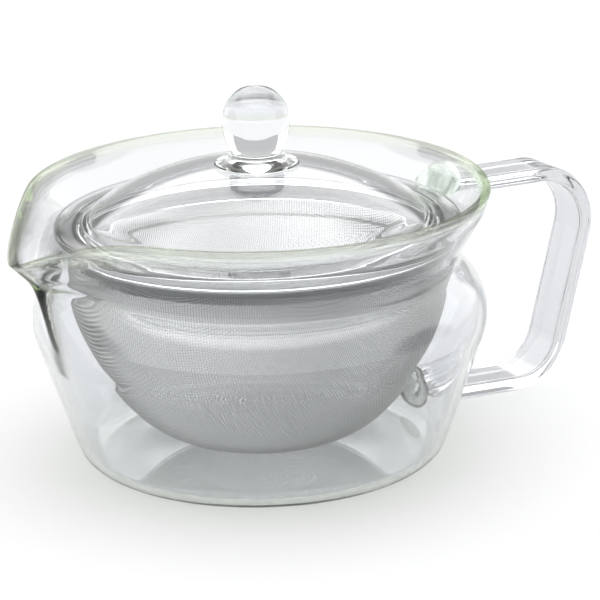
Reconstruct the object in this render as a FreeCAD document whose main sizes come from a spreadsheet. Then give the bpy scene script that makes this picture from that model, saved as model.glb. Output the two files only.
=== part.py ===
"""Glass teapot with a pouring lip, a lift-out mesh strainer and a lift-off glass lid.

Frame: millimetres, +Z up, origin where the pot's axis meets the surface it stands on.
The lip points along -X, the handle along +X, and XZ is the plane of symmetry.
"""
import FreeCAD, Part
import math
import os

import Sketcher

os.makedirs("parts", exist_ok=True)
doc = FreeCAD.newDocument("GlassTeapot")

# ---------------------------------------------------------------- driving dimensions
SIZES = {
    # pot wall, a body of revolution
    "rim_radius": 57.5, "rim_height": 69.6, "wall": 2.0,
    "foot_round": 7.0, "side_lean": 18.9,
    "belly_x": 42.4, "belly_height": 36.9,
    "neck_radius": 49.35, "neck_height": 51.0, "neck_round": 2.5,
    "collar_lean": 30.0, "collar_round": 10.4,
    # pouring lip: a keel pulled out of the wall, and the arc that drops its rim
    "lip_tip_round": 2.6, "lip_bite": 0.6,
    "lip_drop_start": 46.0, "lip_drop_reach": 29.0, "lip_drop_round": 31.0,
    # handle: a flat glass bar, bent in the XZ plane and fused to the wall at both ends
    "bar_width": 12.9, "bar_depth": 3.8, "bar_round": 1.7, "bar_bite": 0.8,
    "top_bar_height": 61.6, "top_bend": 14.0, "top_bend_x": 98.4, "top_bend_height": 60.3,
    "low_bend": 13.4, "low_bend_x": 83.4, "low_bend_height": 4.8, "low_bar_height": 6.6,
    "top_weld_width": 17.0, "top_weld_depth": 6.0, "low_weld_width": 14.0, "low_weld_depth": 9.0,
    "weld_length": 7.0, "low_bar_end": 45.5,
    # strainer: woven bowl, hoop inside its edge, rim over both
    "mesh_radius": 46.9, "mesh_gauge": 0.4, "mesh_top": 57.4, "mesh_straight": 48.0,
    "bowl_floor": 2.0, "bowl_floor_height": 4.7, "bowl_flat": 18.0, "bowl_flat_height": 6.25,
    "bowl_turn": 32.0, "bowl_turn_height": 13.6,
    "bowl_flat_slope": 11.1, "bowl_turn_slope": 44.3, "bowl_side_slope": 88.8,
    "hoop_gauge": 0.4, "hoop_foot": 53.4,
    "rim_ring_radius": 49.3, "rim_ring_top": 58.0, "rim_ring_gauge": 0.5, "hem_foot": 56.4,
    # lid: a dome with a resting flange and a skirt that drops inside the hoop
    "lid_wall": 2.0, "dome_top": 76.0, "dome_radius": 75.3, "dome_edge": 40.0,
    "step_width": 4.0, "step_rise": 0.2, "step_round": 8.0,
    "flange_radius": 51.0, "flange_foot": 58.2, "flange_top": 61.2, "flange_edge": 1.5,
    "skirt_radius": 45.2, "skirt_foot": 53.6, "skirt_wall": 2.2, "bore_set": 2.0, "bore_rise": 0.5,
    # knob: a solid glass ball on a short neck and a spreading foot
    "ball_radius": 8.5, "ball_height": 86.4, "ball_cut": 25.0,
    "stem_radius": 6.4, "stem_height": 78.2, "knob_foot_round": 4.0,
    "knob_foot_radius": 10.2, "knob_foot_height": 75.6, "knob_foot_bevel": 0.6, "knob_seat": 75.0,
    # how far blanks and cutting shapes run past the surface that they meet
    "spare": 1.5,
}
# levels of the lip from the belly to above the rim: height, and reach of the keel there
LIP_LEVELS = [(37.0, 57.2), (43.0, 59.5), (50.0, 62.2), (54.5, 64.4), (57.0, 66.9), (60.5, 69.6),
              (66.0, 70.0), (72.0, 70.2)]


def wall_arcs():
    """Centre and radius of each arc of the pot's outer wall; straight runs join them tangent."""
    lean, flare = math.radians(SIZES["side_lean"]), math.radians(SIZES["collar_lean"])
    foot_round, neck_round = SIZES["foot_round"], SIZES["neck_round"]
    collar_round = SIZES["collar_round"]
    belly = FreeCAD.Vector(SIZES["belly_x"], SIZES["belly_height"], 0)
    neck = FreeCAD.Vector(SIZES["neck_radius"] + neck_round, SIZES["neck_height"], 0)
    belly_round = (neck - belly).Length - neck_round
    foot_x = belly.x + ((foot_round - belly.y) * math.sin(lean)
                        + belly_round - foot_round) / math.cos(lean)
    collar_x = SIZES["rim_radius"] - collar_round
    collar_y = neck.y + ((collar_x - neck.x) * math.cos(flare) + collar_round
                         + neck_round) / math.sin(flare)
    return {"foot": (FreeCAD.Vector(foot_x, foot_round, 0), foot_round),
            "belly": (belly, belly_round), "neck": (neck, neck_round),
            "collar": (FreeCAD.Vector(collar_x, collar_y, 0), collar_round)}


def wall_radius(height):
    """Radius of the outer wall at a height between the belly's middle and the rim."""
    arcs, flare = wall_arcs(), math.radians(SIZES["collar_lean"])
    (belly, belly_round), (neck, neck_round) = arcs["belly"], arcs["neck"]
    collar, collar_round = arcs["collar"]
    if height <= belly.y + (neck.y - belly.y) * belly_round / (belly_round + neck_round):
        return belly.x + math.sqrt(belly_round ** 2 - (height - belly.y) ** 2)
    flare_start = neck.y + neck_round * math.sin(flare)
    if height <= flare_start:
        return neck.x - math.sqrt(neck_round ** 2 - (height - neck.y) ** 2)
    if height <= collar.y - collar_round * math.sin(flare):
        return neck.x - neck_round * math.cos(flare) + (height - flare_start) * math.tan(flare)
    return collar.x + math.sqrt(collar_round ** 2 - min(height - collar.y, 0) ** 2)


for number, (height, reach) in enumerate(LIP_LEVELS):
    SIZES.update({f"lip_height_{number}": height, f"lip_reach_{number}": reach,
                  f"lip_wall_{number}": wall_radius(height)})

sheet = doc.addObject("Spreadsheet::Sheet", "Sheet")
for row, (name, size) in enumerate(SIZES.items(), start=1):
    sheet.set(f"A{row}", name)
    sheet.set(f"B{row}", str(size))
    sheet.setAlias(f"B{row}", name)
doc.recompute()


# ---------------------------------------------------------------- sketch helpers
def value(expression):
    """The number that an expression of the sheet's cells comes to."""
    result = sheet.evalExpression(expression)
    return float(getattr(result, "Value", result))


def new_body(label):
    body = doc.addObject("PartDesign::Body", label)
    body.Label = label
    body.Placement = FreeCAD.Placement()
    return body


def new_sketch(body, name, role, lift=None):
    """A sketch on one of the body's origin planes, lifted off it by an expression."""
    plane = next(item for item in body.Origin.OriginFeatures if item.Role == role)
    sketch = body.newObject("Sketcher::SketchObject", name)
    sketch.AttachmentSupport = [(plane, "")]
    sketch.MapMode = "FlatFace"
    if lift:
        sketch.setExpression("AttachmentOffset.Base.z", lift)
    return sketch


def bind(sketch, kind, *where, to):
    """A dimension whose size is an expression."""
    size = value(to)
    if kind == "Angle":
        index = sketch.addConstraint(Sketcher.Constraint(kind, *where, math.radians(size)))
    else:
        index = sketch.addConstraint(Sketcher.Constraint(kind, *where, size))
    sketch.setExpression(f"Constraints[{index}]", to)


def bind_point(sketch, geometry, end, x, y):
    """Holds one end of an edge at (x, y), two expressions."""
    bind(sketch, "DistanceX", -1, 1, geometry, end, to=x)
    bind(sketch, "DistanceY", -1, 1, geometry, end, to=y)


def arc_between(start, finish, radius, left):
    """The short arc from start to finish, with its centre on the left or right of the way."""
    chord = finish - start
    middle = (start + finish) * 0.5
    reach = math.sqrt(radius ** 2 - (chord.Length / 2) ** 2)
    side = FreeCAD.Vector(-chord.y, chord.x, 0).normalize() * (1 if left else -1)
    centre = middle + side * reach
    crown = centre - side * radius
    return Part.Arc(start, crown, finish)


def outline(sketch, vertices, rounds=None):
    """A closed outline through vertices, pairs of expressions.

    rounds maps the number of an edge to (radius expression, True if its centre is on the left).
    """
    rounds = rounds or {}
    places = [FreeCAD.Vector(value(x), value(y), 0) for x, y in vertices]
    count = len(places)
    for edge in range(count):
        start, finish = places[edge], places[(edge + 1) % count]
        if edge in rounds:
            radius, left = rounds[edge]
            sketch.addGeometry(arc_between(start, finish, value(radius), left))
        else:
            sketch.addGeometry(Part.LineSegment(start, finish))
    # Sketcher keeps every arc anticlockwise, so one with its centre on the right is stored reversed
    first = [2 if edge in rounds and not rounds[edge][1] else 1 for edge in range(count)]
    for edge, (x, y) in enumerate(vertices):
        before = (edge - 1) % count
        sketch.addConstraint(Sketcher.Constraint("Coincident", before, 3 - first[before],
                                                 edge, first[edge]))
        bind_point(sketch, edge, first[edge], x, y)
    for edge, (radius, _) in rounds.items():
        bind(sketch, "Radius", edge, to=radius)


def revolve(body, sketch, name, kind="PartDesign::Revolution"):
    """Turns a sketch on XZ once round the pot's axis."""
    feature = body.newObject(kind, name)
    feature.Profile = sketch
    feature.ReferenceAxis = (sketch, ["V_Axis"])
    feature.Angle = 360
    doc.recompute()
    return feature


# ---------------------------------------------------------------- pot body
def wall_outline(body, name, inset, head):
    """Half section of the pot's wall, filled to the axis: foot, side, belly, neck and collar.

    inset is how far the section lies inside the outer surface, head is its flat top's height.
    """
    sketch = new_sketch(body, name, "XZ_Plane")
    arcs, inward = wall_arcs(), value(inset)
    lean, flare = math.radians(SIZES["side_lean"]), math.radians(SIZES["collar_lean"])

    def arc(part, inward, start, finish):
        centre, radius = arcs[part]
        circle = Part.Circle(centre, FreeCAD.Vector(0, 0, 1), radius - inward)
        return Part.ArcOfCircle(circle, start, finish)

    rise = arcs["neck"][0] - arcs["belly"][0]
    shoulder = math.atan2(rise.y, rise.x)
    foot_arc = arc("foot", inward, -math.pi / 2, -lean)
    belly_arc = arc("belly", inward, -lean, shoulder)
    neck_arc = arc("neck", -inward, math.pi - flare, math.pi + shoulder)
    collar_arc = arc("collar", inward, -flare, 0)
    top = value(head)
    edge_x = SIZES["rim_radius"] - inward
    places = [FreeCAD.Vector(0, top, 0), FreeCAD.Vector(0, inward, 0), foot_arc.StartPoint]
    axis_line = Part.LineSegment(places[0], places[1])
    floor_line = Part.LineSegment(places[1], places[2])
    side_line = Part.LineSegment(foot_arc.EndPoint, belly_arc.StartPoint)
    collar_line = Part.LineSegment(neck_arc.StartPoint, collar_arc.StartPoint)
    rim_line = Part.LineSegment(collar_arc.EndPoint, FreeCAD.Vector(edge_x, top, 0))
    top_line = Part.LineSegment(FreeCAD.Vector(edge_x, top, 0), places[0])
    sketch.addGeometry([axis_line, floor_line, foot_arc, side_line, belly_arc, neck_arc,
                        collar_line, collar_arc, rim_line, top_line])
    axis, floor, heel, side, belly_edge, neck_edge, flare_edge, collar_edge, rim, head_edge = range(10)
    start, end, centre = 1, 2, 3
    joins = [("Tangent", floor, end, heel, start), ("Tangent", heel, end, side, start),
             ("Tangent", side, end, belly_edge, start), ("Tangent", belly_edge, end, neck_edge, end),
             ("Tangent", neck_edge, start, flare_edge, start),
             ("Tangent", flare_edge, end, collar_edge, start),
             ("Tangent", collar_edge, end, rim, start), ("Coincident", rim, end, head_edge, start),
             ("Coincident", head_edge, end, axis, start), ("Coincident", axis, end, floor, start),
             ("Vertical", axis), ("Horizontal", floor), ("Vertical", rim), ("Horizontal", head_edge),
             ("PointOnObject", axis, end, -2)]
    for join in joins:
        sketch.addConstraint(Sketcher.Constraint(*join))
    bind(sketch, "DistanceY", -1, 1, axis, end, to=inset)
    bind(sketch, "Radius", heel, to=f"Sheet.foot_round - {inset}")
    bind(sketch, "Angle", side, to="90 deg - Sheet.side_lean * 1 deg")
    bind_point(sketch, belly_edge, centre, "Sheet.belly_x", "Sheet.belly_height")
    bind_point(sketch, neck_edge, centre, "Sheet.neck_radius + Sheet.neck_round",
               "Sheet.neck_height")
    bind(sketch, "Radius", neck_edge, to=f"Sheet.neck_round + {inset}")
    bind(sketch, "Angle", flare_edge, to="90 deg - Sheet.collar_lean * 1 deg")
    bind(sketch, "Radius", collar_edge, to=f"Sheet.collar_round - {inset}")
    bind(sketch, "DistanceX", -1, 1, rim, end, to=f"Sheet.rim_radius - {inset}")
    bind(sketch, "DistanceY", -1, 1, rim, end, to=head)
    return sketch


def lip_section(body, name, number, inset):
    """One level of the lip: two straight sides from the wall to a small round at the tip."""
    sketch = new_sketch(body, name, "XY_Plane", lift=f"Sheet.lip_height_{number}")
    wall = f"(Sheet.lip_wall_{number} - Sheet.lip_bite - {inset})"
    tip = f"(Sheet.lip_tip_round - {inset})"
    reach = f"(Sheet.lip_reach_{number} - Sheet.lip_tip_round)"
    turn = f"acos(({wall} - {tip}) / {reach})"
    vertices = [
        (f"-{wall} * cos({turn})", f"{wall} * sin({turn})"),
        (f"-{reach} - {tip} * cos({turn})", f"{tip} * sin({turn})"),
        (f"-{reach} - {tip} * cos({turn})", f"-{tip} * sin({turn})"),
        (f"-{wall} * cos({turn})", f"-{wall} * sin({turn})"),
    ]
    outline(sketch, vertices, rounds={1: (tip, True)})
    return sketch


def loft(body, sketches, name, kind):
    feature = body.newObject(kind, name)
    feature.Profile = sketches[0]
    feature.Sections = sketches[1:]
    feature.Ruled = True
    doc.recompute()
    return feature


def make_pot_body():
    body = new_body("pot_body")
    levels = range(len(LIP_LEVELS))
    head = "Sheet.rim_height + Sheet.spare"
    revolve(body, wall_outline(body, "OuterWall", "0", head), "Blank")
    keel = [lip_section(body, f"Keel{number}", number, "0") for number in levels]
    loft(body, keel, "LipOutside", "PartDesign::AdditiveLoft")
    solid = body.Shape.Volume
    revolve(body, wall_outline(body, "InnerWall", "Sheet.wall", f"{head} + Sheet.spare"),
            "Hollow", "PartDesign::Groove")
    channel = [lip_section(body, f"Channel{number}", number, "Sheet.wall") for number in levels]
    loft(body, channel, "LipInside", "PartDesign::SubtractiveLoft")
    assert body.Shape.Volume < 0.3 * solid, "the hollow was not cut"
    # the rim is level, and drops along an arc towards the tip of the lip
    cut = new_sketch(body, "RimLine", "XZ_Plane")
    start = "-Sheet.lip_drop_start"
    far = "-(Sheet.lip_drop_start + Sheet.lip_drop_reach)"
    drop = ("Sheet.rim_height - Sheet.lip_drop_round"
            " + sqrt(Sheet.lip_drop_round ^ 2 - Sheet.lip_drop_reach ^ 2)")
    over, side = "Sheet.rim_height + 3 * Sheet.spare", "Sheet.rim_radius + Sheet.spare"
    vertices = [(side, "Sheet.rim_height"), (side, over), (far, over), (far, drop),
                (start, "Sheet.rim_height")]
    outline(cut, vertices, rounds={3: ("Sheet.lip_drop_round", False)})
    whole = body.Shape.Volume
    pocket = body.newObject("PartDesign::Pocket", "RimCut")
    pocket.Profile = cut
    pocket.Type = "ThroughAll"
    pocket.Midplane = True
    doc.recompute()
    assert body.Shape.Volume < whole, "the rim was not cut"
    return body


# ---------------------------------------------------------------- handle
def weld(body, name, near, far, height, width, depth):
    """Widens the bar where it is fused to the pot: a loft from the bar's section to the wall."""
    sections = []
    for place, (breadth, thickness) in ((near, ("Sheet.bar_width", "Sheet.bar_depth")),
                                        (far, (width, depth))):
        sketch = new_sketch(body, f"{name}{len(sections)}", "YZ_Plane", lift=place)
        rounded_bar(sketch, height, breadth, thickness)
        sections.append(sketch)
    return loft(body, sections, name, "PartDesign::AdditiveLoft")


def rounded_bar(sketch, height, width, depth):
    """A rounded rectangle centred on the plane of symmetry at the given height."""
    half, rise, bevel = f"{width} / 2", f"{depth} / 2", "Sheet.bar_round"
    vertices = []
    for across, up in ((1, -1), (1, 1), (-1, 1), (-1, -1)):
        side = (f"{across} * {half}", f"{height} + {up} * ({rise} - {bevel})")
        edge = (f"{across} * ({half} - {bevel})", f"{height} + {up} * {rise}")
        vertices += [side, edge] if across * up > 0 else [edge, side]
    outline(sketch, vertices, rounds={corner: (bevel, True) for corner in (0, 2, 4, 6)})


def make_handle():
    body = new_body("handle")
    start, top, low = "Sheet.neck_radius", "Sheet.top_bar_height", "Sheet.low_bar_height"
    spine = new_sketch(body, "Spine", "XZ_Plane")
    corners = [FreeCAD.Vector(value(x), value(y), 0) for x, y in (
        (start, top), ("Sheet.top_bend_x", "Sheet.top_bend_height"),
        ("Sheet.low_bend_x", "Sheet.low_bend_height"), ("Sheet.low_bar_end", low))]
    legs = [(after - before).normalize() for before, after in zip(corners, corners[1:])]
    path, places = [], [corners[0]]
    for number, bend in ((1, "top_bend"), (2, "low_bend")):
        turn = legs[number - 1].getAngle(legs[number])
        setback = SIZES[bend] * math.tan(turn / 2)
        entry = corners[number] - legs[number - 1] * setback
        leave = corners[number] + legs[number] * setback
        path += [Part.LineSegment(places[-1], entry),
                 arc_between(entry, leave, SIZES[bend], False)]
        places += [entry, leave]
    path.append(Part.LineSegment(places[-1], corners[3]))
    spine.addGeometry(path)
    for before, before_end, after, after_end in ((0, 2, 1, 2), (1, 1, 2, 1), (2, 2, 3, 2),
                                                 (3, 1, 4, 1)):
        spine.addConstraint(Sketcher.Constraint("Tangent", before, before_end, after, after_end))
    bind_point(spine, 0, 1, start, top)
    bind(spine, "Angle", 0, to="-atan((Sheet.top_bar_height - Sheet.top_bend_height)"
                               " / (Sheet.top_bend_x - Sheet.neck_radius))")
    bind(spine, "Radius", 1, to="Sheet.top_bend")
    bind(spine, "Radius", 3, to="Sheet.low_bend")
    bind_point(spine, 4, 2, "Sheet.low_bar_end", low)
    section = new_sketch(body, "BarSection", "YZ_Plane", lift=start)
    rounded_bar(section, top, "Sheet.bar_width", "Sheet.bar_depth")
    pipe = body.newObject("PartDesign::AdditivePipe", "Bar")
    pipe.Profile = section
    pipe.Spine = (spine, [])
    pipe.Mode = "Standard"
    doc.recompute()
    weld(body, "TopWeld", "Sheet.rim_radius + Sheet.weld_length", start, top,
         "Sheet.top_weld_width", "Sheet.top_weld_depth")
    weld(body, "LowWeld", "Sheet.neck_radius + Sheet.weld_length", "Sheet.low_bar_end", low,
         "Sheet.low_weld_width", "Sheet.low_weld_depth")
    whole = body.Shape.Volume
    revolve(body, wall_outline(body, "PotInside", "Sheet.bar_bite", "Sheet.rim_height"),
            "EndCuts", "PartDesign::Groove")
    assert body.Shape.Volume < whole, "the bar's ends were not cut to the wall"
    return body


# ---------------------------------------------------------------- strainer
def offset_point(x, y, slope, gap):
    """A point moved square to a wall of the given slope, towards the bowl's inside."""
    return f"{x} - ({gap}) * sin({slope} * 1 deg)", f"{y} + ({gap}) * cos({slope} * 1 deg)"


def tangent_radius(start, finish, start_slope, finish_slope):
    """Radius of an arc whose chord runs from start to finish and whose slope turns as given."""
    (x0, y0), (x1, y1) = start, finish
    return (f"sqrt(({x1} - {x0}) ^ 2 + ({y1} - {y0}) ^ 2)"
            f" / (2 * sin(({finish_slope} - {start_slope}) * 0.5 deg))")


def make_strainer_mesh():
    body = new_body("strainer_mesh")
    knots = [("Sheet.bowl_floor", "Sheet.bowl_floor_height", "0"),
             ("Sheet.bowl_flat", "Sheet.bowl_flat_height", "Sheet.bowl_flat_slope"),
             ("Sheet.bowl_turn", "Sheet.bowl_turn_height", "Sheet.bowl_turn_slope"),
             ("Sheet.mesh_radius", "Sheet.mesh_straight", "Sheet.bowl_side_slope")]
    gauge = "Sheet.mesh_gauge"
    outside = [(x, y) for x, y, _ in knots]
    inside = [offset_point(x, y, slope, gauge) for x, y, slope in knots]
    inside[-1] = (f"Sheet.mesh_radius - {gauge}", "Sheet.mesh_straight")
    radii = [tangent_radius(outside[n], outside[n + 1], knots[n][2], knots[n + 1][2])
             for n in range(3)]
    floor, edge = "Sheet.bowl_floor_height", "Sheet.mesh_radius"
    vertices = ([("0", f"{floor} + {gauge}"), ("0", floor)] + outside
                + [(edge, "Sheet.mesh_top"), (f"{edge} - {gauge}", "Sheet.mesh_top")] + inside[::-1])
    rounds = {2 + n: (radii[n], True) for n in range(3)}
    rounds.update({10 - n: (f"({radii[n]}) - {gauge}", False) for n in range(3)})
    sketch = new_sketch(body, "BowlSection", "XZ_Plane")
    outline(sketch, vertices, rounds)
    revolve(body, sketch, "Bowl")
    return body


def make_strainer_hoop():
    """The plain steel hoop that the mesh is welded to, inside its upper edge."""
    body = new_body("strainer_hoop")
    sketch = new_sketch(body, "HoopSection", "XZ_Plane")
    outer = "Sheet.mesh_radius - Sheet.mesh_gauge"
    inner = f"{outer} - Sheet.hoop_gauge"
    outline(sketch, [(inner, "Sheet.hoop_foot"), (outer, "Sheet.hoop_foot"),
                     (outer, "Sheet.mesh_top"), (inner, "Sheet.mesh_top")])
    revolve(body, sketch, "Hoop")
    return body


def make_strainer_rim():
    """The turned-out rim over mesh and hoop, with a hem that rests on the pot's collar."""
    body = new_body("strainer_rim")
    sketch = new_sketch(body, "RimSection", "XZ_Plane")
    edge, top, gauge = "Sheet.rim_ring_radius", "Sheet.rim_ring_top", "Sheet.rim_ring_gauge"
    inner = "Sheet.mesh_radius - Sheet.mesh_gauge - Sheet.hoop_gauge"
    under = f"{top} - {gauge}"
    vertices = [(inner, under), (f"{edge} - {gauge}", under), (f"{edge} - {gauge}", "Sheet.hem_foot"),
                (edge, "Sheet.hem_foot"), (edge, f"{top} - {gauge}"), (f"{edge} - {gauge}", top),
                (inner, top)]
    outline(sketch, vertices, rounds={4: (gauge, True)})
    revolve(body, sketch, "Rim")
    return body


# ---------------------------------------------------------------- lid
def make_lid_dome():
    """Dome, resting flange and skirt in one blown piece."""
    body = new_body("lid_dome")
    sketch = new_sketch(body, "DomeSection", "XZ_Plane")
    outer, inner = "Sheet.dome_radius", "(Sheet.dome_radius - Sheet.lid_wall)"
    centre = f"(Sheet.dome_top - {outer})"
    bore = "(Sheet.skirt_radius - Sheet.skirt_wall)"
    shoulder = f"({bore} - Sheet.bore_set)"
    lip, foot, top = "Sheet.flange_edge", "Sheet.flange_foot", "Sheet.flange_top"
    edge = "Sheet.flange_radius"
    vertices = [
        ("0", "Sheet.dome_top - Sheet.lid_wall"),
        (shoulder, f"{centre} + sqrt({inner} ^ 2 - {shoulder} ^ 2)"),
        (bore, f"{foot} + Sheet.bore_rise"),
        (bore, f"Sheet.skirt_foot + {lip}"),
        (f"{bore} + Sheet.skirt_wall / 2", "Sheet.skirt_foot"),
        ("Sheet.skirt_radius", f"Sheet.skirt_foot + {lip}"),
        ("Sheet.skirt_radius", foot),
        (f"{edge} - {lip}", foot),
        (edge, f"{foot} + {lip}"),
        (f"{edge} - {lip}", top),
        ("Sheet.dome_edge + Sheet.step_width", f"{top} + Sheet.step_rise"),
        ("Sheet.dome_edge", f"{centre} + sqrt({outer} ^ 2 - Sheet.dome_edge ^ 2)"),
        ("0", "Sheet.dome_top"),
    ]
    rounds = {0: (inner, False), 7: (lip, True), 8: (lip, True), 10: ("Sheet.step_round", False),
              11: (outer, True)}
    outline(sketch, vertices, rounds)
    revolve(body, sketch, "Dome")
    return body


def make_lid_knob():
    """Solid ball that tapers to a stem and spreads into the foot fused to the dome."""
    body = new_body("lid_knob")
    sketch = new_sketch(body, "KnobSection", "XZ_Plane")
    ball, middle = "Sheet.ball_radius", "Sheet.ball_height"
    turn = "Sheet.ball_cut * 1 deg"
    vertices = [
        ("0", "Sheet.knob_seat"),
        ("Sheet.knob_foot_radius - Sheet.knob_foot_bevel", "Sheet.knob_seat"),
        ("Sheet.knob_foot_radius", "Sheet.knob_foot_height"),
        ("Sheet.stem_radius", "Sheet.stem_height"),
        (f"{ball} * cos({turn})", f"{middle} - {ball} * sin({turn})"),
        ("0", f"{middle} + {ball}"),
    ]
    outline(sketch, vertices, rounds={2: ("Sheet.knob_foot_round", True), 4: (ball, True)})
    revolve(body, sketch, "Knob")
    return body


# ---------------------------------------------------------------- build, check, write
pieces = [make_pot_body(), make_handle(), make_strainer_mesh(), make_strainer_hoop(),
          make_strainer_rim(), make_lid_dome(), make_lid_knob()]
doc.recompute()
for item in doc.Objects:
    assert not {"Invalid", "Error"} & set(item.State), f"{item.Name} failed: {item.State}"
for body in pieces:
    shape = body.Shape
    assert not shape.isNull() and shape.isValid() and len(shape.Solids) == 1, body.Label
    box = shape.optimalBoundingBox()
    print(f"{body.Label:14s} {shape.Volume / 1000:8.3f} cm3  x {box.XMin:7.2f} {box.XMax:7.2f}"
          f"  y {box.YMin:7.2f} {box.YMax:7.2f}  z {box.ZMin:7.2f} {box.ZMax:7.2f}")
for body in pieces:
    body.Shape.exportStep(f"parts/{body.Label}.step")
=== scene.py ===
"""Glass teapot with a flat bar handle, a woven steel strainer and a domed glass lid.

Sizes are millimetres here and become metres when a mesh is made. The origin is on the pot's axis at
its foot, the lip points along -X and the handle along +X. Angles round the axis are measured from
the lip.
"""
import math

import bmesh
import bpy
import numpy as np
from mathutils import Matrix, Vector


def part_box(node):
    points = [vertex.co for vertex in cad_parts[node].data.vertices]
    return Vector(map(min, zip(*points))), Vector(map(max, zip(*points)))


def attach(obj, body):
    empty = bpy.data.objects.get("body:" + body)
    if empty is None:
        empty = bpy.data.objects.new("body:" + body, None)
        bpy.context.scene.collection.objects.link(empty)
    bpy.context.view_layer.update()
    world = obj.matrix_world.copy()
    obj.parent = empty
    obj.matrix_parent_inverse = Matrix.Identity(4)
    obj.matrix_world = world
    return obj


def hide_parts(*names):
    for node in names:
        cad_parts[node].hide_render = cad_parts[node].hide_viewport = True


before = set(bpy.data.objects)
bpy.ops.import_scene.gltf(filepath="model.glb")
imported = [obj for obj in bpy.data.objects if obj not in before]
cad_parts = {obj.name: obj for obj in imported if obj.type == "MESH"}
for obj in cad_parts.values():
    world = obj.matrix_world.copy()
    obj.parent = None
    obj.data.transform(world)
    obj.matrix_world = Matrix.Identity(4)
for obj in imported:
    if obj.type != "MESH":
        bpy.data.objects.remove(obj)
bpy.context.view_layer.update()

MM = 0.001


def corners(node):
    """Lowest and highest corner of a CAD node in millimetres."""
    low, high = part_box(node)
    return np.array(low) / MM, np.array(high) / MM


# ---------------------------------------------------------------- sizes
POT_HIGH = corners("pot_body")[1]
MESH_HIGH = corners("strainer_mesh")[1]
HOOP_LOW, HOOP_HIGH = corners("strainer_hoop")
RING_LOW, RING_HIGH = corners("strainer_rim")
LID_LOW, LID_HIGH = corners("lid_dome")
KNOB_HIGH = corners("lid_knob")[1]

# The pot's round section, from foot to rim, and how uneven its blown wall is.
RIM_RADIUS, RIM_HEIGHT = POT_HIGH[0], POT_HIGH[2]
WALL = 2.0
FOOT_ROUND, SIDE_LEAN = 7.0, math.radians(18.9)
BELLY_X, BELLY_Z = 42.4, 36.9
NECK_RADIUS, NECK_Z, NECK_ROUND = 49.35, 51.0, 2.5
COLLAR_LEAN, COLLAR_ROUND = math.radians(30), 10.4
BEAD_RADIUS, BEAD_INSET = 1.15, 0.9
PUSH_UP, PUSH_UP_RADIUS = 1.1, 33.0
UNEVEN, UNEVEN_LOBES, UNEVEN_TWIST, UNEVEN_FROM = 0.05, 3, 0.11, 20

# The lip that is drawn out of it, with its keel, lifted neck and lowered rim.
LIP_HEIGHTS = [26, 36, 43, 50.6, 54.3, 57, 59, 61, 72]
LIP_REACH = [50, 57, 59.5, 62.3, 64.2, 67, 69, 69.9, 70.2]
LIP_SOFTNESS, LIP_HOLLOW, LIP_HOLLOW_HEIGHTS = 0.033, 1.3, (52, 61)
NECK_LIFT, NECK_LIFT_TURN, NECK_LIFT_START = 5.0, 0.38, 34.0
LIP_DROP_START, LIP_DROP_ROUND = 46.0, 31.0
DROP_FOOT, DROP_BEND = 46, 1.6

# The grid of the pot's wall, and the blocks in it that give way to the welds.
COLUMNS, OUTSIDE_ROWS, INSIDE_ROWS = 360, 132, 104
PATCH_HALF_COLUMNS, PATCH_HALF_ROWS = 13, 7
PATCH_RINGS, CAP_RINGS = 6, 5

# The handle's bar and its two welds.
BAR_WIDTH, BAR_DEPTH, BAR_ROUND = 12.9, 3.8, 1.1
BAR_CORNERS, BAR_BENDS, BAR_END_X = ((98.4, 60.3), (83.4, 4.8)), (14.0, 13.4), 45.5
BAR_STATIONS, BAR_WAVE, BAR_WAVE_PACE = 190, 0.008, 0.33
TOP_WELD_Z, TOP_WELD_HALF = 61.6, (8.6, 5.0)
LOW_WELD_Z, LOW_WELD_HALF = 6.6, (7.2, 4.4)
FLARE_LENGTH, FLARE_SPREAD, FLARE_FORWARD, WELD_OVERLAP = 9.0, 2.6, 1.3, 0.03

# The strainer's bowl, in points with the line's slope in degrees, its weave and the hoop's seam.
BOWL_FLOOR, BOWL_EDGE_GAP = 4.7, 0.3
BOWL_KNOTS = [((2.0, BOWL_FLOOR), 0), ((18.0, 6.25), 11.1), ((32.0, 13.6), 44.3), ((46.9, 48.0), 88.8)]
MESH_GAUGE, WIRE, PITCH, WEAVE_TURN, WEAVE_SWING = 0.4, 0.22, 0.72, math.radians(32), 0.45
SEAM_TURN = math.radians(-109.2)

# The lid and its knob.
LID_WALL, DOME_RADIUS, DOME_EDGE = 2.0, 75.3, 40.0
FLANGE_LOW, FLANGE_HIGH, FLANGE_ROUND = 58.2, 61.2, 1.5
SKIRT_OUTER, SKIRT_INNER, SKIRT_ROUND = 45.2, 43.0, 1.1
BOSS_DEPTH, BOSS_RADIUS, BOSS_WIDTH = 0.405, 6.2, 0.9
RIPPLE, RIPPLE_PITCH, RIPPLE_RADIUS, RIPPLE_WIDTH = 0.05, 1.7, 44.5, 3
SEAT_RADIUS, BALL_RADIUS = 10.6, 8.5
BALL_Z = KNOB_HIGH[2] - BALL_RADIUS
KNOB_STEM = [[8.0, 82.5], [7.1, 79.9], [6.2, 78.2], [6.7, 77.3], [8.2, 76.7], [9.7, 76.3], [10.4, 75.8]]
ROUND_SEGMENTS = 256

# How much painted edge light the rim, lip, keel and welds show (a pale green, unbent share that stands in
# for light carried along a rounded edge), and how far that goes.
WELD_EDGE_LIGHT, RIM_EDGE_LIGHT, RIM_EDGE_LIGHT_DEPTH = 0.3, 0.7, 3.5
LIP_EDGE_LIGHT_DEPTH, LIP_EDGE_LIGHT_ANGLE = 6.0, 0.7
KEEL_EDGE_LIGHT, KEEL_HALF_ANGLE, KEEL_LOW, KEEL_HIGH = 0.45, 0.045, 30.0, 60.0

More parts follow.
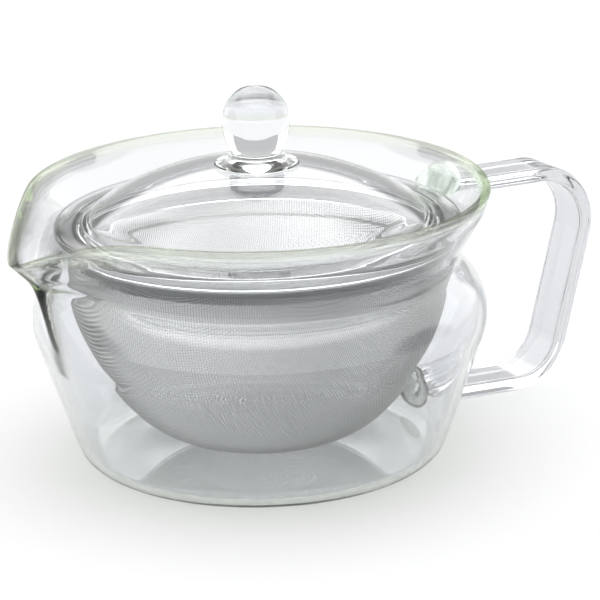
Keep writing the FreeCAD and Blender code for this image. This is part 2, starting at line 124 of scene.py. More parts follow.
# Glass and steel.
GLASS_IOR, WAVE_SCALE, WAVE_STRENGTH, WAVE_HEIGHT = 1.47, 60, 0.02, 0.001
SOFT_LIGHT_TINT = (0.98, 0.982, 0.985)
# The middle colour is the pale green of painted edge light; the last is the glass's own green.
WELD_LIGHT_WHITE, EDGE_LIGHT_GREEN, DEEP_GREEN = (0.86, 0.9, 0.88), (0.89, 0.918, 0.84), (0.82, 0.9, 0.72)
# The first colour above is the white of painted light in the welds; the crinkles and shares below set
# where and how much of it shows.
CRINKLE_SCALE, CRINKLE_RANGE = (350, 900, 200), (0.3, 0.7)
WELD_LIGHT_LESS, WELD_LIGHT_MORE = 0.25, 0.15
STREAK_SCALE = (60, 60, 5000)

# The camera and the studio round the pot.
VIEW_AZIMUTH, VIEW_ELEVATION, VIEW_ROLL = -29.7, 17.83, 1.1
VIEW_DISTANCE, LENS, SENSOR = 900.0, 216.0, 36
AIM_RIGHT, AIM_HEIGHT = 10.03, 39.4
STUDIO_LEVEL, LEFT_WALL, RIGHT_WALL, COOL_SHARE = 6.0, 1.2, 1.0, 0.995
FLOOR_SHADE, FLOOR_HALF, FLOOR_GAP = 0.328, 4000, 0.25
BACKDROP = ((0, 0.1), (0.17, 0.1), (0.21, 0.5), (0.6, 0.6), (0.76, 0.8), (1, 0.9))
BACKDROP_NARROW, BACKDROP_SOFTNESS = 1.5, 0.12
FLAG_EDGE, FLAG_LEVEL = (0.9, 0.96), 0.08
DIM_WALLS = ((0, 0.26), (0.3, 0.27), (0.7, 0.3), (0.85, 0.8), (1, 0.8))


# ---------------------------------------------------------------- curves in the (radius, height) plane
def arc(centre, radius, start, finish, spacing):
    """Points on an arc, start and finish in radians."""
    count = max(3, int(abs(finish - start) * radius / spacing) + 2)
    turn = np.linspace(start, finish, count)
    return np.column_stack([centre[0] + radius * np.cos(turn), centre[1] + radius * np.sin(turn)])


def join(*stretches):
    """One line of points without repeats."""
    points = np.vstack(stretches)
    keep = np.ones(len(points), bool)
    keep[1:] = np.linalg.norm(np.diff(points, axis=0), axis=1) > 1e-6
    return points[keep]


def lengths(points):
    """How far along a line each of its points lies."""
    return np.concatenate([[0], np.cumsum(np.linalg.norm(np.diff(points, axis=0), axis=1))])


def along(points, places):
    """Points at the given distances along a line."""
    run = lengths(points)
    return np.column_stack([np.interp(places, run, column) for column in points.T])


def melt(points, softness, spacing):
    """Rounds a line's corners as heat does, then thins it to even steps that close up at bends."""
    fine, bend_step = 0.08, 0.12
    run = lengths(points)
    dense = along(points, np.arange(0, run[-1], fine))
    dense = np.vstack([dense, points[-1]])
    half = int(3 * softness / fine)
    kernel = np.exp(-0.5 * (np.arange(-half, half + 1) * fine / softness) ** 2)
    kernel /= kernel.sum()
    padded = np.vstack([2 * dense[0] - dense[half:0:-1], dense, 2 * dense[-1] - dense[-2:-half - 2:-1]])
    soft = np.column_stack([np.convolve(column, kernel, "valid") for column in padded.T])
    step = np.diff(soft, axis=0)
    heading = np.unwrap(np.arctan2(step[:, 1], step[:, 0]))
    bend = np.abs(np.gradient(heading))
    cost = np.concatenate([[0], np.cumsum(np.linalg.norm(step, axis=1) / spacing + bend / bend_step)])
    count = int(math.ceil(cost[-1])) + 1
    places = np.interp(np.linspace(0, cost[-1], count), cost, lengths(soft))
    return along(soft, places)


def unit(vectors):
    """Each row made one long."""
    return vectors / np.linalg.norm(vectors, axis=1)[:, None]


# ---------------------------------------------------------------- meshes
def make_object(name, points, faces, material, **face_marks):
    """A mesh object from points in millimetres, with any named numbers that its faces carry."""
    mesh = bpy.data.meshes.new(name)
    mesh.from_pydata((np.asarray(points) * MM).tolist(), [], [list(face) for face in faces])
    mesh.materials.append(material)
    mesh.polygons.foreach_set("use_smooth", [True] * len(mesh.polygons))
    for mark, values in face_marks.items():
        marks = mesh.attributes.new(mark, "FLOAT", "FACE")
        marks.data.foreach_set("value", np.asarray(values, np.float32))
    shape = bmesh.new()
    shape.from_mesh(mesh)
    bmesh.ops.recalc_face_normals(shape, faces=shape.faces)
    shape.to_mesh(mesh)
    shape.free()
    mesh.update()
    piece = bpy.data.objects.new(name, mesh)
    bpy.context.scene.collection.objects.link(piece)
    return piece


def place(piece, body, node):
    """Puts a piece on its body, in place of a CAD node."""
    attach(piece, body)
    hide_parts(node)


def grid_faces(rows, columns, first=0):
    """Quads between rings of points, where first is the number of the first point."""
    row, column = np.meshgrid(np.arange(rows - 1), np.arange(columns), indexing="ij")
    following = (column + 1) % columns
    quads = np.stack([row * columns + column, row * columns + following,
                      (row + 1) * columns + following, (row + 1) * columns + column], axis=-1)
    return (quads.reshape(-1, 4) + first).tolist()


def lathe(profile, segments):
    """A solid turned from a line that starts and ends on the axis, or that closes on itself."""
    turn = np.linspace(0, 2 * math.pi, segments, endpoint=False)
    starts_on_axis, ends_on_axis = profile[0, 0] < 1e-6, profile[-1, 0] < 1e-6
    rings = profile[int(starts_on_axis):len(profile) - int(ends_on_axis)]
    radius, height = rings[:, 0][:, None], rings[:, 1][:, None]
    points = np.stack([radius * np.cos(turn), radius * np.sin(turn), height + 0 * turn],
                      axis=-1).reshape(-1, 3)
    faces = grid_faces(len(rings), segments)
    around = np.arange(segments)
    last = (len(rings) - 1) * segments
    if starts_on_axis:
        points = np.vstack([points, [0, 0, profile[0, 1]]])
        faces += [[len(points) - 1, (k + 1) % segments, k] for k in around]
    if ends_on_axis:
        points = np.vstack([points, [0, 0, profile[-1, 1]]])
        faces += [[len(points) - 1, last + k, last + (k + 1) % segments] for k in around]
    if not starts_on_axis:
        faces += [[last + k, last + (k + 1) % segments, (k + 1) % segments, k] for k in around]
    return points, faces


def ring_quads(outer, inner):
    """Quads between two rings of point numbers."""
    return np.column_stack([outer, np.roll(outer, -1), np.roll(inner, -1), inner]).tolist()


def fill_inwards(outline, rings, centre, next_point):
    """The points and faces that close an outline through smaller and smaller rings to a middle."""
    faces = []
    for ring in rings:
        here = next_point + np.arange(len(ring))
        next_point += len(ring)
        faces += ring_quads(outline, here)
        outline = here
    faces += [[a, b, next_point] for a, b in zip(outline, np.roll(outline, -1))]
    return np.vstack([*rings, centre]), faces


# ---------------------------------------------------------------- materials
def node_material(name):
    """An empty node material, its node tree and its output node."""
    material = bpy.data.materials.new(name)
    material.use_nodes = True
    tree = material.node_tree
    tree.nodes.clear()
    return material, tree, tree.nodes.new("ShaderNodeOutputMaterial")


def add_node(tree, kind, inputs, **settings):
    """A node with its settings, and with inputs that are values or other nodes' outputs."""
    node = tree.nodes.new(kind)
    for name, value in settings.items():
        setattr(node, name, value)
    for name, value in inputs.items():
        if isinstance(value, bpy.types.NodeSocket):
            tree.links.new(value, node.inputs[name])
        else:
            node.inputs[name].default_value = value
    return node


def math_node(tree, operation, first, second):
    """The result of an operation on two outputs or numbers."""
    return add_node(tree, "ShaderNodeMath", {0: first, 1: second}, operation=operation).outputs[0]


def range_node(tree, value, old, new, kind="LINEAR"):
    """A value carried over from its old range to a new one, each given as a pair."""
    inputs = {"Value": value, "From Min": old[0], "From Max": old[1], "To Min": new[0], "To Max": new[1]}
    return add_node(tree, "ShaderNodeMapRange", inputs, interpolation_type=kind).outputs[0]


def scale_node(tree, colour, factor):
    """A colour made brighter or darker."""
    return add_node(tree, "ShaderNodeVectorMath", {0: colour, "Scale": factor},
                    operation="SCALE").outputs[0]


def mix_shaders(tree, share, first, second):
    """Two shaders mixed, where the share is the second one's."""
    return add_node(tree, "ShaderNodeMixShader", {0: share, 1: first, 2: second}).outputs[0]


def face_mark(tree, name):
    """The number that each face carries under a name."""
    return add_node(tree, "ShaderNodeAttribute", {}, attribute_name=name).outputs["Fac"]


def clear_glass(tree, position, tint):
    """Glass that bends what is seen and lets soft light straight through."""
    noise = add_node(tree, "ShaderNodeTexNoise", {"Vector": position, "Scale": WAVE_SCALE, "Detail": 1})
    bump = add_node(tree, "ShaderNodeBump", {"Strength": WAVE_STRENGTH, "Distance": WAVE_HEIGHT,
                                             "Height": noise.outputs["Fac"]})
    glass = add_node(tree, "ShaderNodeBsdfPrincipled", {
        "Base Color": (*tint, 1), "Roughness": 0.0, "IOR": GLASS_IOR, "Transmission Weight": 1.0,
        "Normal": bump.outputs[0]})
    straight = add_node(tree, "ShaderNodeBsdfTransparent", {"Color": (*SOFT_LIGHT_TINT, 1)})
    path = tree.nodes.new("ShaderNodeLightPath")
    soft_light = math_node(tree, "MAXIMUM", path.outputs["Is Shadow Ray"], path.outputs["Is Diffuse Ray"])
    return mix_shaders(tree, soft_light, glass.outputs[0], straight.outputs[0])


def weld_glass(tree, position, weld_light):
    """The inner end of a weld, which light crosses unchanged, but for a share of painted light: a milky
    white in its crinkles that stands in for pale light seen through the weld.
    """
    clear = tree.nodes.new("ShaderNodeBsdfTransparent").outputs[0]
    if not weld_light:
        return clear
    crinkle = add_node(tree, "ShaderNodeMapping", {"Vector": position, "Scale": CRINKLE_SCALE})
    streaks = add_node(tree, "ShaderNodeTexNoise", {"Vector": crinkle.outputs[0], "Scale": 1.0,
                                                    "Detail": 2})
    amount = range_node(tree, streaks.outputs["Fac"], CRINKLE_RANGE, (weld_light - WELD_LIGHT_LESS, weld_light + WELD_LIGHT_MORE))
    # Painted light: a milky white cloud standing in for pale light seen through the weld.
    through = add_node(tree, "ShaderNodeBsdfTranslucent", {"Color": (*WELD_LIGHT_WHITE, 1)})
    back = add_node(tree, "ShaderNodeBsdfDiffuse", {"Color": (*WELD_LIGHT_WHITE, 1)})
    pale_light = mix_shaders(tree, 0.5, through.outputs[0], back.outputs[0])
    return mix_shaders(tree, amount, clear, pale_light)


def glass_material(name, tint, density, weld_light=0.0):
    """Clear glass that turns green along a thick or edge-on path.

    Faces marked as fused are the inner ends of a weld. Faces marked with painted edge light show a share
    of pale green that isn't bent, painted in place of the light that a rounded edge carries.
    """
    material, tree, output = node_material(name)
    position = tree.nodes.new("ShaderNodeTexCoord").outputs["Object"]
    wall = clear_glass(tree, position, tint)
    weld = weld_glass(tree, position, weld_light)
    # Painted edge light: pale green seen straight through, in place of light carried along a rounded
    # edge.
    edge = add_node(tree, "ShaderNodeBsdfTransparent", {"Color": (*EDGE_LIGHT_GREEN, 1)})
    whole = mix_shaders(tree, face_mark(tree, "fused"), wall, weld)
    edged = mix_shaders(tree, face_mark(tree, "polished"), whole, edge.outputs[0])
    volume = add_node(tree, "ShaderNodeVolumeAbsorption", {"Color": (*DEEP_GREEN, 1), "Density": density})
    tree.links.new(edged, output.inputs["Surface"])
    tree.links.new(volume.outputs[0], output.inputs["Volume"])
    return material


def steel_material(name, colour, roughness, streak=0.0):
    """Stainless steel, with fine streaks round the axis where streak isn't 0."""
    material, tree, output = node_material(name)
    steel = add_node(tree, "ShaderNodeBsdfPrincipled", {"Base Color": (*colour, 1), "Metallic": 1.0,
                                                        "Roughness": roughness})
    tree.links.new(steel.outputs[0], output.inputs["Surface"])
    if streak:
        position = tree.nodes.new("ShaderNodeTexCoord").outputs["Object"]
        squeeze = add_node(tree, "ShaderNodeMapping", {"Vector": position, "Scale": STREAK_SCALE})
        noise = add_node(tree, "ShaderNodeTexNoise", {"Vector": squeeze.outputs[0], "Scale": 1.0})
        spread = range_node(tree, noise.outputs["Fac"], (0, 1), (roughness - streak, roughness + streak))
        tree.links.new(spread, steel.inputs["Roughness"])
    return material


# ---------------------------------------------------------------- pot wall
def wall_arcs():
    """Centres of the wall's outer arcs, foot, belly, neck and collar, with the belly's radius."""
    belly = np.array([BELLY_X, BELLY_Z])
    neck = np.array([NECK_RADIUS + NECK_ROUND, NECK_Z])
    belly_round = np.linalg.norm(neck - belly) - NECK_ROUND
    foot_x = BELLY_X + ((FOOT_ROUND - BELLY_Z) * math.sin(SIDE_LEAN)
                        + belly_round - FOOT_ROUND) / math.cos(SIDE_LEAN)
    collar_x = RIM_RADIUS - COLLAR_ROUND
    collar_z = NECK_Z + ((collar_x - neck[0]) * math.cos(COLLAR_LEAN) + COLLAR_ROUND
                         + NECK_ROUND) / math.sin(COLLAR_LEAN)
    return (np.array([foot_x, FOOT_ROUND]), belly, belly_round, neck,
            np.array([collar_x, collar_z]))


def wall_profile(inset):
    """The wall from its foot's flat to the rim, inset millimetres inside the outer surface."""
    foot, belly, belly_round, neck, collar = wall_arcs()
    shoulder = math.atan2(neck[1] - belly[1], neck[0] - belly[0])
    fine = 0.25
    side_foot = arc(foot, FOOT_ROUND - inset, -math.pi / 2, -SIDE_LEAN, fine)
    bulge = arc(belly, belly_round - inset, -SIDE_LEAN, shoulder, fine)
    pinch = arc(neck, NECK_ROUND + inset, math.pi + shoulder, math.pi - COLLAR_LEAN, fine)
    flare = arc(collar, COLLAR_ROUND - inset, -COLLAR_LEAN, 0, fine)
    return join([[0, inset]], side_foot, bulge, pinch, flare, [[RIM_RADIUS - inset, RIM_HEIGHT]])


OUTER = wall_profile(0)
INNER = wall_profile(WALL)
SIDE_WALL = OUTER[OUTER[:, 1] > 0.5]


def side_of_lip(turn):
    """An angle from the lip, brought to between minus and plus half a turn."""
    return (turn + math.pi) % (2 * math.pi) - math.pi


def reach(height):
    """How far the lip's keel stands from the axis at a height, with no kinks between levels."""
    fine, softness, half = 0.25, 1.2, 12
    levels = np.arange(20, 75, fine)
    kernel = np.exp(-0.5 * (np.arange(-half, half + 1) * fine / softness) ** 2)
    soft = np.convolve(np.interp(levels, LIP_HEIGHTS, LIP_REACH), kernel / kernel.sum(), "same")
    inside = slice(half, -half)
    return np.interp(height, levels[inside], soft[inside])


def lip_radius(base, wall, height, turn):
    """Radius of a wall point drawn out to the lip.

    The flanks are straight at the rim and hollow lower down, where the keel is a narrow ridge.
    """
    keel = np.maximum(reach(height), wall)
    leave = np.arccos(np.clip(wall / keel, -1, 1))
    soft_turn = np.sqrt(side_of_lip(turn) ** 2 + LIP_SOFTNESS ** 2)
    pulled = base / np.cos(np.maximum(0, leave - soft_turn))
    ridge = base / np.cos(np.maximum(0, leave - LIP_SOFTNESS))
    share = (pulled - base) / np.maximum(ridge - base, 1e-6)
    hollow = np.interp(height, LIP_HOLLOW_HEIGHTS, (LIP_HOLLOW, 1))
    return np.where(height > LIP_HEIGHTS[0], base + (ridge - base) * share ** hollow, base)


def rim_drop(turn):
    """How far the rim lies below its level height, along an arc towards the lip's tip.

    Radius and drop depend on each other, and four rounds settle them.
    """
    drop = np.zeros_like(turn)
    farthest = 0.95 * LIP_DROP_ROUND
    for _ in range(4):
        radius = lip_radius(RIM_RADIUS, RIM_RADIUS, RIM_HEIGHT - drop, turn)
        past = np.clip(radius * np.cos(turn) - LIP_DROP_START, 0, farthest)
        drop = LIP_DROP_ROUND - np.sqrt(LIP_DROP_ROUND ** 2 - past ** 2)
    return drop


def neck_lift(height, turn):
    """How far the pinched neck rises towards the lip, where the keel's corner is."""
    below = np.clip((height - NECK_LIFT_START) / (NECK_Z - NECK_LIFT_START), 0, 1)
    above = np.clip((RIM_HEIGHT - height) / (RIM_HEIGHT - NECK_Z), 0, 1)
    part = np.where(height < NECK_Z, below, above)
    return NECK_LIFT * np.exp(-(side_of_lip(turn) / NECK_LIFT_TURN) ** 2) * part ** 2 * (3 - 2 * part)


def wall_point(base, height, turn):
    """Points of the pot from radius and height on its round profile and angle from the lip."""
    wall = np.interp(height, SIDE_WALL[:, 1], SIDE_WALL[:, 0])
    share = np.clip((height - DROP_FOOT) / (RIM_HEIGHT - DROP_FOOT), 0, 1.2)
    low = height - rim_drop(turn) * share ** DROP_BEND + neck_lift(height, turn)
    radius = lip_radius(base, wall, low, turn)
    uneven = UNEVEN * np.sin(UNEVEN_LOBES * turn + UNEVEN_TWIST * height)
    radius = radius + uneven * np.clip(height / UNEVEN_FROM, 0, 1)
    return np.stack([-radius * np.cos(turn), -radius * np.sin(turn), low], axis=-1)


def pot_angles(columns):
    """Angles from the lip, closer together at the lip and at the handle."""
    lip_crowding, lip_spread, handle_crowding, handle_spread = 1.7, 0.3, 0.5, 0.5
    fine = np.linspace(0, 2 * math.pi, 2881)
    from_lip = np.minimum(fine, 2 * math.pi - fine)
    at_lip = lip_crowding * np.exp(-(from_lip / lip_spread) ** 2)
    at_handle = handle_crowding * np.exp(-((fine - math.pi) / handle_spread) ** 2)
    density = 1 + at_lip + at_handle
    total = np.concatenate([[0], np.cumsum((density[1:] + density[:-1]) / 2)])
    return np.interp(np.linspace(0, total[-1], columns + 1), total, fine)[:-1]


def pot_profile():
    """The pot's section from under its floor, up the outside, over the rim and down the inside."""
    bead_x, bead_z = RIM_RADIUS - BEAD_INSET, RIM_HEIGHT - BEAD_RADIUS
    open_turn = math.acos(BEAD_INSET / BEAD_RADIUS)
    outer_top = bead_z - BEAD_RADIUS * math.sin(open_turn)
    inner_turn = math.acos((WALL - BEAD_INSET) / BEAD_RADIUS)
    inner_top = bead_z - BEAD_RADIUS * math.sin(inner_turn)
    outside = join(OUTER[OUTER[:, 1] < outer_top], [[RIM_RADIUS, outer_top]])
    inside = join(INNER[INNER[:, 1] < inner_top], [[RIM_RADIUS - WALL, inner_top]])
    bead = arc((bead_x, bead_z), BEAD_RADIUS, -open_turn, math.pi + inner_turn, 0.3)
    outside = along(outside, np.linspace(0, lengths(outside)[-1], OUTSIDE_ROWS))
    inside = along(inside, np.linspace(0, lengths(inside)[-1], INSIDE_ROWS))
    for side in (outside, inside):
        under = np.clip(1 - (side[:, 0] / PUSH_UP_RADIUS) ** 2, 0, 1) ** 2 * (side[:, 1] < WALL + 0.01)
        side[:, 1] += PUSH_UP * under
    return outside, bead[1:-1], inside[::-1]


def block_edge(row, column):
    """Grid places round a block's edge, anticlockwise from its lower left corner."""
    low_row, high_row = row - PATCH_HALF_ROWS, row + PATCH_HALF_ROWS
    low_column, high_column = column - PATCH_HALF_COLUMNS, column + PATCH_HALF_COLUMNS
    places = [(low_row, c) for c in range(low_column, high_column)]
    places += [(r, high_column) for r in range(low_row, high_row)]
    places += [(high_row, c) for c in range(high_column, low_column, -1)]
    places += [(r, low_column) for r in range(high_row, low_row, -1)]
    return np.array(places)


def weld_rings(outer_rings, angles, row, column, half):
    """Rings of wall points from a weld's block edge to its outline, and from there to its middle."""
    edge = block_edge(row, column)
    row_step = np.linalg.norm(outer_rings[row + 1] - outer_rings[row])
    column_step = outer_rings[row, 0] * (angles[column + 1] - angles[column])
    steps = edge - np.array([row, column])
    bearing = np.arctan2(steps[:, 0] / PATCH_HALF_ROWS, steps[:, 1] / PATCH_HALF_COLUMNS)
    oval = np.column_stack([half[1] / row_step * np.sin(bearing),
                            half[0] / column_step * np.cos(bearing)])

    def on_wall(offsets):
        """Points of the pot at grid steps up and across from the weld's middle."""
        rows = offsets[:, 0] + row
        base = np.interp(rows, np.arange(len(outer_rings)), outer_rings[:, 0])
        level = np.interp(rows, np.arange(len(outer_rings)), outer_rings[:, 1])
        turn = np.interp(offsets[:, 1] + column, np.arange(COLUMNS), angles)
        return wall_point(base, level, turn)

    shares = ((np.arange(PATCH_RINGS) + 1) / PATCH_RINGS) ** 0.8
    around = [on_wall(steps * (1 - share) + oval * share) for share in shares]
    cap = [on_wall(oval * (1 - ring / CAP_RINGS)) for ring in range(1, CAP_RINGS)]
    return edge, around, cap, on_wall(np.zeros((1, 2)))


def block_faces(row, column):
    """Numbers of the wall's faces inside a weld's block."""
    rows = np.arange(row - PATCH_HALF_ROWS, row + PATCH_HALF_ROWS)
    columns = np.arange(column - PATCH_HALF_COLUMNS, column + PATCH_HALF_COLUMNS)
    return set((rows[:, None] * COLUMNS + columns).ravel().tolist())


def painted_edge_light_marks(rings, angles):
    """How much painted edge light each face of the wall shows: most at the rim and lip, and less on the
    keel.
    """
    from_lip = side_of_lip(angles)
    height = rings[:-1, 1]
    on_keel = (height > KEEL_LOW) & (height < KEEL_HIGH)
    keel = KEEL_EDGE_LIGHT * on_keel[:, None] * np.exp(-(from_lip / KEEL_HALF_ANGLE) ** 2)
    depth = RIM_EDGE_LIGHT_DEPTH + LIP_EDGE_LIGHT_DEPTH * np.exp(-(from_lip / LIP_EDGE_LIGHT_ANGLE) ** 2)
    below_rim = RIM_HEIGHT - height
    rim = RIM_EDGE_LIGHT * np.clip(1 - below_rim[:, None] / depth, 0, 1)
    return np.maximum(keel, rim).ravel()


def make_pot(glass):
    """The pot and, for each weld, the outline, inner rings and middle that the handle starts from."""
    outside, bead, inside = pot_profile()
    profile = np.vstack([outside, bead, inside])
    rings, outer_rings = profile[1:-1], outside[1:]
    angles = pot_angles(COLUMNS)
    handle_column = int(np.argmin(np.abs(angles - math.pi)))
    points = [wall_point(rings[:, 0][:, None], rings[:, 1][:, None], angles[None, :]).reshape(-1, 3)]
    next_point = len(points[0])
    removed, patch_faces, patch_marks, welds = set(), [], [], []
    for height, half in ((TOP_WELD_Z, TOP_WELD_HALF), (LOW_WELD_Z, LOW_WELD_HALF)):
        wide = outer_rings[:, 0] > BELLY_X
        row = int(np.argmin(np.where(wide, np.abs(outer_rings[:, 1] - height), 1e9)))
        removed |= block_faces(row, handle_column)
        edge, around, cap, centre = weld_rings(outer_rings, angles, row, handle_column, half)
        outline = edge[:, 0] * COLUMNS + edge[:, 1]
        more_points, more_faces = fill_inwards(outline, around + cap, centre, next_point)
        points.append(more_points)
        patch_faces += more_faces
        patch_marks += [0.0] * len(around) * len(edge) + [1.0] * (len(cap) + 1) * len(edge)
        next_point += len(more_points)
        welds.append((around[-1], cap, centre[0]))
    wall_faces = grid_faces(len(rings), COLUMNS)
    kept = [number for number in range(len(wall_faces)) if number not in removed]
    faces = [wall_faces[number] for number in kept] + patch_faces
    fused = [0.0] * len(kept) + patch_marks + [0.0] * (2 * COLUMNS)
    points.append([[0, 0, profile[0, 1]], [0, 0, profile[-1, 1]]])
    last = (len(rings) - 1) * COLUMNS
    faces += [[next_point, (k + 1) % COLUMNS, k] for k in range(COLUMNS)]
    faces += [[next_point + 1, last + k, last + (k + 1) % COLUMNS] for k in range(COLUMNS)]
    # Painted edge light on the rim, lip and keel.
    polish = painted_edge_light_marks(rings, angles)[kept].tolist()
    polish += [0.0] * (len(faces) - len(polish))
    pot = make_object("pot_glass_body", np.vstack(points), faces, glass, fused=fused, polished=polish)
    place(pot, "pot", "pot_body")
    return welds


# ---------------------------------------------------------------- handle
def bar_spine():
    """The handle's middle line in the XZ plane from the collar round to the foot."""
    nodes = [(NECK_RADIUS, TOP_WELD_Z), *BAR_CORNERS, (BAR_END_X, LOW_WELD_Z)]
    nodes = [np.array(node, float) for node in nodes]
    line = [nodes[0][None, :]]
    for number, bend in enumerate(BAR_BENDS, start=1):
        before = nodes[number - 1] - nodes[number]
        after = nodes[number + 1] - nodes[number]
        before /= np.linalg.norm(before)
        after /= np.linalg.norm(after)
        half = math.acos(np.clip(before @ after, -1, 1)) / 2
        centre = nodes[number] + (before + after) / np.linalg.norm(before + after) * bend / math.sin(half)
        entry = nodes[number] + before * bend / math.tan(half)
        leave = nodes[number] + after * bend / math.tan(half)
        start = math.atan2(entry[1] - centre[1], entry[0] - centre[0])
        finish = math.atan2(leave[1] - centre[1], leave[0] - centre[0])
        finish = start - (start - finish) % (2 * math.pi)
        line.append(arc(centre, bend, start, finish, 0.5))
    line.append(nodes[-1][None, :])
    return join(*line)


def bar_section(edge, width, depth):
    """Half width and half depth of the bar's rounded oblong section, in the order of a block's edge."""
    on_oblong = edge[:, ::-1] / (PATCH_HALF_COLUMNS, PATCH_HALF_ROWS) * (width / 2, depth / 2)
    core = np.array([width / 2 - BAR_ROUND, depth / 2 - BAR_ROUND])
    inner = np.clip(on_oblong, -core, core)
    outward = on_oblong - inner
    outward *= BAR_ROUND / np.linalg.norm(outward, axis=1)[:, None]
    return (inner + outward).T


def bar_rings(welds):
    """Rings of points along the bar, and how far each lies from the nearer weld."""
    spine = bar_spine()
    run = lengths(spine)
    edge = block_edge(0, 0)
    first, last = [run[int(np.argmin(np.linalg.norm(spine - centre[[0, 2]], axis=1)))]
                   for _, _, centre in welds]
    stations = np.linspace(first, last, BAR_STATIONS)
    small_step = 0.4
    ahead = along(spine, np.minimum(stations + small_step, run[-1]))
    tangent = unit(ahead - along(spine, stations - small_step))
    side = np.array([0, -1, 0])
    rings = []
    for station, here, (tangent_x, tangent_z) in zip(stations, along(spine, stations), tangent):
        run_on = np.array([tangent_x, 0, tangent_z])
        up = np.array([-tangent_z, 0, tangent_x])
        wave = 1 + BAR_WAVE * math.sin(BAR_WAVE_PACE * station)
        across, rise = bar_section(edge, BAR_WIDTH, BAR_DEPTH * wave)
        forward = np.zeros(len(across))
        for near, (outline, _, centre) in zip((station - first, last - station), welds):
            if near < FLARE_LENGTH:
                share = (1 - near / FLARE_LENGTH) ** FLARE_SPREAD
                relative = outline - centre
                across = across * (1 - share) + (relative @ side) * share
                rise = rise * (1 - share) + (relative @ up) * share
                forward = (relative @ run_on) * (1 - near / FLARE_LENGTH) ** FLARE_FORWARD
        rings.append(np.array([here[0], 0, here[1]]) + across[:, None] * side
                     + rise[:, None] * up + forward[:, None] * run_on)
    return rings, np.minimum(stations - first, last - stations)


def make_handle(welds, glass):
    """A flat glass bar whose ends spread into the outlines on the pot's wall."""
    rings, from_weld = bar_rings(welds)
    into_wall = np.array([-WELD_OVERLAP, 0, 0])
    rings[0] = welds[0][0] + into_wall
    rings[-1] = welds[1][0] + into_wall
    columns = len(rings[0])
    points = np.vstack(rings)
    faces = grid_faces(len(rings), columns)
    fused = [0.0] * len(faces)
    # Painted edge light near the welds, fading along the bar.
    polish = WELD_EDGE_LIGHT * np.clip(1 - from_weld[:-1] / FLARE_LENGTH, 0, 1) ** 0.5
    polish = np.repeat(polish, columns).tolist()
    for start, (_, cap, centre) in zip((0, len(points) - columns), welds):
        outline = start + np.arange(columns)
        more_points, more_faces = fill_inwards(outline, cap, centre, len(points))
        points = np.vstack([points, more_points + into_wall])
        faces += more_faces
        fused += [1.0] * len(more_faces)
    polish += [0.0] * (len(faces) - len(polish))
    bar = make_object("handle_bar", points, faces, glass, fused=fused, polished=polish)
    place(bar, "pot", "handle")


# ---------------------------------------------------------------- strainer
def bowl_profile():
    """The mesh bowl's middle line from the axis to its upper edge, in arcs from knot to knot."""
    line = [[[0, BOWL_FLOOR]]]
    for (start, start_slope), (finish, finish_slope) in zip(BOWL_KNOTS, BOWL_KNOTS[1:]):
        start, finish = np.array(start), np.array(finish)
        turn = math.radians(finish_slope - start_slope)
        radius = np.linalg.norm(finish - start) / (2 * math.sin(turn / 2))
        chord = math.atan2(*(finish - start)[::-1])
        first = chord - turn / 2 - math.pi / 2
        centre = start - radius * np.array([math.cos(first), math.sin(first)])
        line.append(arc(centre, radius, first, first + turn, 0.3))
    line.append([[MESH_HIGH[0], MESH_HIGH[2] - BOWL_EDGE_GAP]])
    return join(*line)


def bowl_surface():
    """The distance from the bowl's middle to its edge, and a function that draws flat places onto it."""
    profile = bowl_profile()
    total = lengths(profile)[-1]
    fine = np.linspace(0, total, 1600)
    line = along(profile, fine)
    slope = unit(np.gradient(line, axis=0))
    inward = np.column_stack([-slope[:, 1], slope[:, 0]])
    line = line + inward * MESH_GAUGE / 2

    def drawn(flat):
        """Points on the bowl, and its inward direction there, from distance and bearing as x, y."""
        far = np.maximum(np.linalg.norm(flat, axis=1), 1e-9)
        bearing = flat / far[:, None]
        above = np.maximum(far - total, 0)
        point = np.column_stack([bearing * np.interp(far, fine, line[:, 0])[:, None],
                                 np.interp(far, fine, line[:, 1]) + above])
        normal = np.column_stack([bearing * np.interp(far, fine, inward[:, 0])[:, None],
                                  np.interp(far, fine, inward[:, 1])])
        return point, normal

    return total, drawn


def pitch_away(drawn, guess, from_left, from_below):
    """Flat places whose points on the bowl lie one pitch from both neighbours, by Newton's method."""
    small, least_area, rounds = 1e-3, 0.05, 8

    def gaps(flat):
        """How much farther than one pitch each point is from its two neighbours."""
        point = drawn(flat)[0]
        return np.column_stack([np.linalg.norm(point - from_left, axis=1) - PITCH,
                                np.linalg.norm(point - from_below, axis=1) - PITCH])

    for _ in range(rounds):
        error = gaps(guess)
        slope_x = (gaps(guess + (small, 0)) - error) / small
        slope_y = (gaps(guess + (0, small)) - error) / small
        area = slope_x[:, 0] * slope_y[:, 1] - slope_x[:, 1] * slope_y[:, 0]
        area = np.where(np.abs(area) < least_area, least_area, area)
        move_x = (error[:, 0] * slope_y[:, 1] - error[:, 1] * slope_y[:, 0]) / area
        move_y = (error[:, 1] * slope_x[:, 0] - error[:, 0] * slope_x[:, 1]) / area
        guess = guess - np.clip(np.column_stack([move_x, move_y]), -PITCH / 2, PITCH / 2)
    return guess


def weave_net(drawn, count):
    """Crossings of one quarter of the weave: the wires keep their pitch and the squares shear."""
    net = np.zeros((count + 1, count + 1, 2))
    steps = np.arange(count + 1) * PITCH
    net[:, 0, 0] = steps
    net[0, :, 1] = steps
    for diagonal in range(2, 2 * count + 1):
        first = np.arange(max(1, diagonal - count), min(count, diagonal - 1) + 1)
        second = diagonal - first
        left, below = net[first - 1, second], net[first, second - 1]
        guess = left + below - net[first - 1, second - 1]
        net[first, second] = pitch_away(drawn, guess, drawn(left)[0], drawn(below)[0])
    return net


